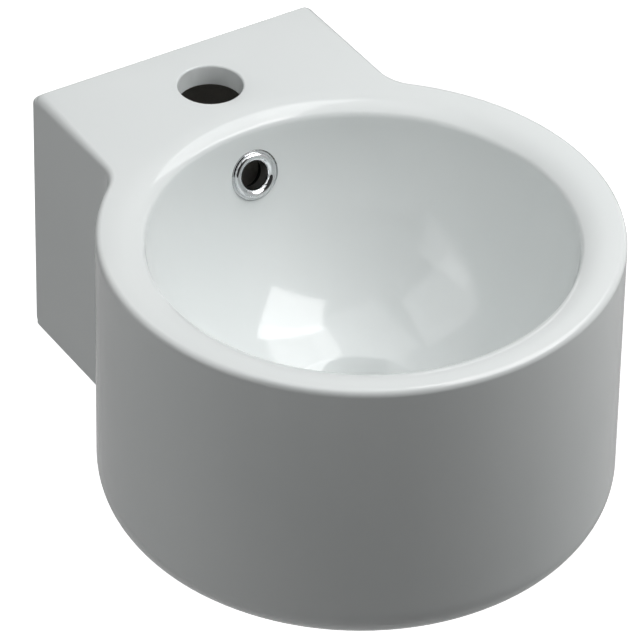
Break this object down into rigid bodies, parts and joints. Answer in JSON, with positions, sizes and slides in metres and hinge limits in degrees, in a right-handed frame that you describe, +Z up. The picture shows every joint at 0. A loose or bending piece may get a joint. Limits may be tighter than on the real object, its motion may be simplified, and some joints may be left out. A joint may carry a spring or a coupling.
{
  "type": "wall hung basin",
  "caption": "Compact wall hung hand basin: round tub on a square tap block, with overflow, click waste and wall studs.",
  "frame": {"origin": "on the wall plane, midway between the two fixing studs", "axes": "+Y into the wall, the basin hangs towards -Y, +Z up, +X to the right of a person who faces the wall"},
  "size_m": [0.274, 0.376, 0.194],
  "materials": {
    "glaze": "gloss",
    "chrome_plate": "polished",
    "dark_plastic": "satin",
    "zinc_plate": "satin",
    "white_plastic": "satin",
    "black_rubber": "matte",
    "brass_rod": "satin",
    "spring_steel": "polished"
  },
  "bodies": {
    "basin": {"basin_body": "glaze", "overflow_ring": "chrome_plate", "overflow_core": "dark_plastic", "hanger_studs": "zinc_plate", "fixing_bushes": "white_plastic", "fixing_washers": "zinc_plate", "fixing_nuts": "zinc_plate", "waste_gasket": "black_rubber", "waste_body": "chrome_plate", "waste_lower_seal": "black_rubber", "waste_slip_washer": "white_plastic", "waste_backnut": "chrome_plate", "click_cartridge": "white_plastic", "click_spring": "spring_steel", "click_end_cap": "white_plastic"},
    "plug": {"plug_cap": "chrome_plate", "plug_seal": "black_rubber", "plug_stem": "brass_rod"},
    "rotor": {"click_rotor": "white_plastic"}
  },
  "joints": [
    {"name": "plug_slide", "type": "slide", "parent": "basin", "child": "plug", "axis": [0, 0, 1], "range_m": [0, 0.007], "deforming": ["click_spring"]},
    {"name": "rotor_turn", "type": "hinge", "parent": "plug", "child": "rotor", "pos_m": [0, -0.194, -0.0538], "axis": [0, 0, 1], "range_deg": [0, 45]}
  ],
  "couplings": [
    {"joint": "rotor_turn", "follows": "plug_slide", "rad_per_m": 112}
  ]
}
